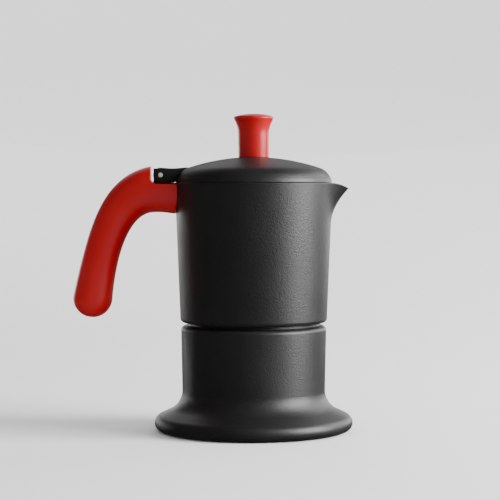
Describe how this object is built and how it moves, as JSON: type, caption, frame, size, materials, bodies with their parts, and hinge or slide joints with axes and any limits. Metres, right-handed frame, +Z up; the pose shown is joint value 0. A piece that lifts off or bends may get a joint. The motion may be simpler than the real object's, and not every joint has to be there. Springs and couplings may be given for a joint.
{
  "type": "moka pot",
  "caption": "Stovetop moka pot: black coated boiler on a wide flared foot, tapered collector with spout, hinged domed lid, red knob and curved red handle.",
  "frame": {"origin": "centre of the flat disc under the foot, on the surface that the pot stands on", "axes": "+Z up along the pot's axis, +X towards the spout, -X towards the handle, +Y towards the safety valve"},
  "size_m": [0.1596, 0.1132, 0.1806],
  "materials": {
    "coated_aluminium": "satin black heat-resistant coating with a fine powder texture",
    "bare_aluminium": "cast and turned, satin, slightly greyed by use",
    "bright_steel": "bright turned stainless steel",
    "valve_brass": "machined brass, satin",
    "seal_silicone": "matt off-white silicone rubber",
    "red_grip": "satin red heat-resistant moulded plastic"
  },
  "bodies": {
    "boiler_body": {"boiler": "coated_aluminium", "base_disc": "bare_aluminium", "valve_body": "valve_brass", "valve_seal": "seal_silicone", "valve_spring": "bright_steel", "valve_cap": "valve_brass"},
    "valve_stem": {"valve_poppet": "bright_steel"},
    "filter_funnel": {"funnel": "bare_aluminium", "funnel_strainer": "bare_aluminium"},
    "seal_ring": {"gasket": "seal_silicone"},
    "sieve": {"filter_plate": "bare_aluminium"},
    "upper_chamber": {"collector": "coated_aluminium", "riser_tube": "bare_aluminium", "riser_cap": "bare_aluminium", "handle_bracket": "coated_aluminium", "bracket_rivets": "bright_steel", "handle": "red_grip", "handle_screw": "bright_steel"},
    "lid_group": {"lid": "coated_aluminium", "hinge_pin": "bright_steel", "knob": "red_grip", "knob_screw": "bright_steel", "knob_washer": "bright_steel"}
  },
  "joints": [
    {"name": "valve", "type": "slide", "parent": "boiler_body", "child": "valve_stem", "axis": [0, 1, 0], "range_m": [0, 0.0012], "stiffness_N_per_m": 1000, "springref_m": -0.0015, "deforming": ["valve_spring"]},
    {"name": "funnel_lift", "type": "slide", "parent": "boiler_body", "child": "filter_funnel", "axis": [0, 0, 1], "range_m": [0, 0.066]},
    {"name": "upper_lift", "type": "slide", "parent": "filter_funnel", "child": "seal_ring", "axis": [0, 0, 1], "range_m": [0, 0.04]},
    {"name": "thread_rise", "type": "slide", "parent": "seal_ring", "child": "sieve", "axis": [0, 0, 1], "range_m": [0, 0.0061]},
    {"name": "chamber_unscrew", "type": "hinge", "parent": "sieve", "child": "upper_chamber", "pos_m": [0, 0, 0.07], "axis": [0, 0, 1], "range_deg": [0, 720]},
    {"name": "lid_hinge", "type": "hinge", "parent": "upper_chamber", "child": "lid_group", "pos_m": [-0.0528, 0, 0.1457], "axis": [0, -1, 0], "range_deg": [0, 100]}
  ],
  "couplings": [
    {"joint": "thread_rise", "follows": "chamber_unscrew", "m_per_rad": 0.00047746}
  ]
}
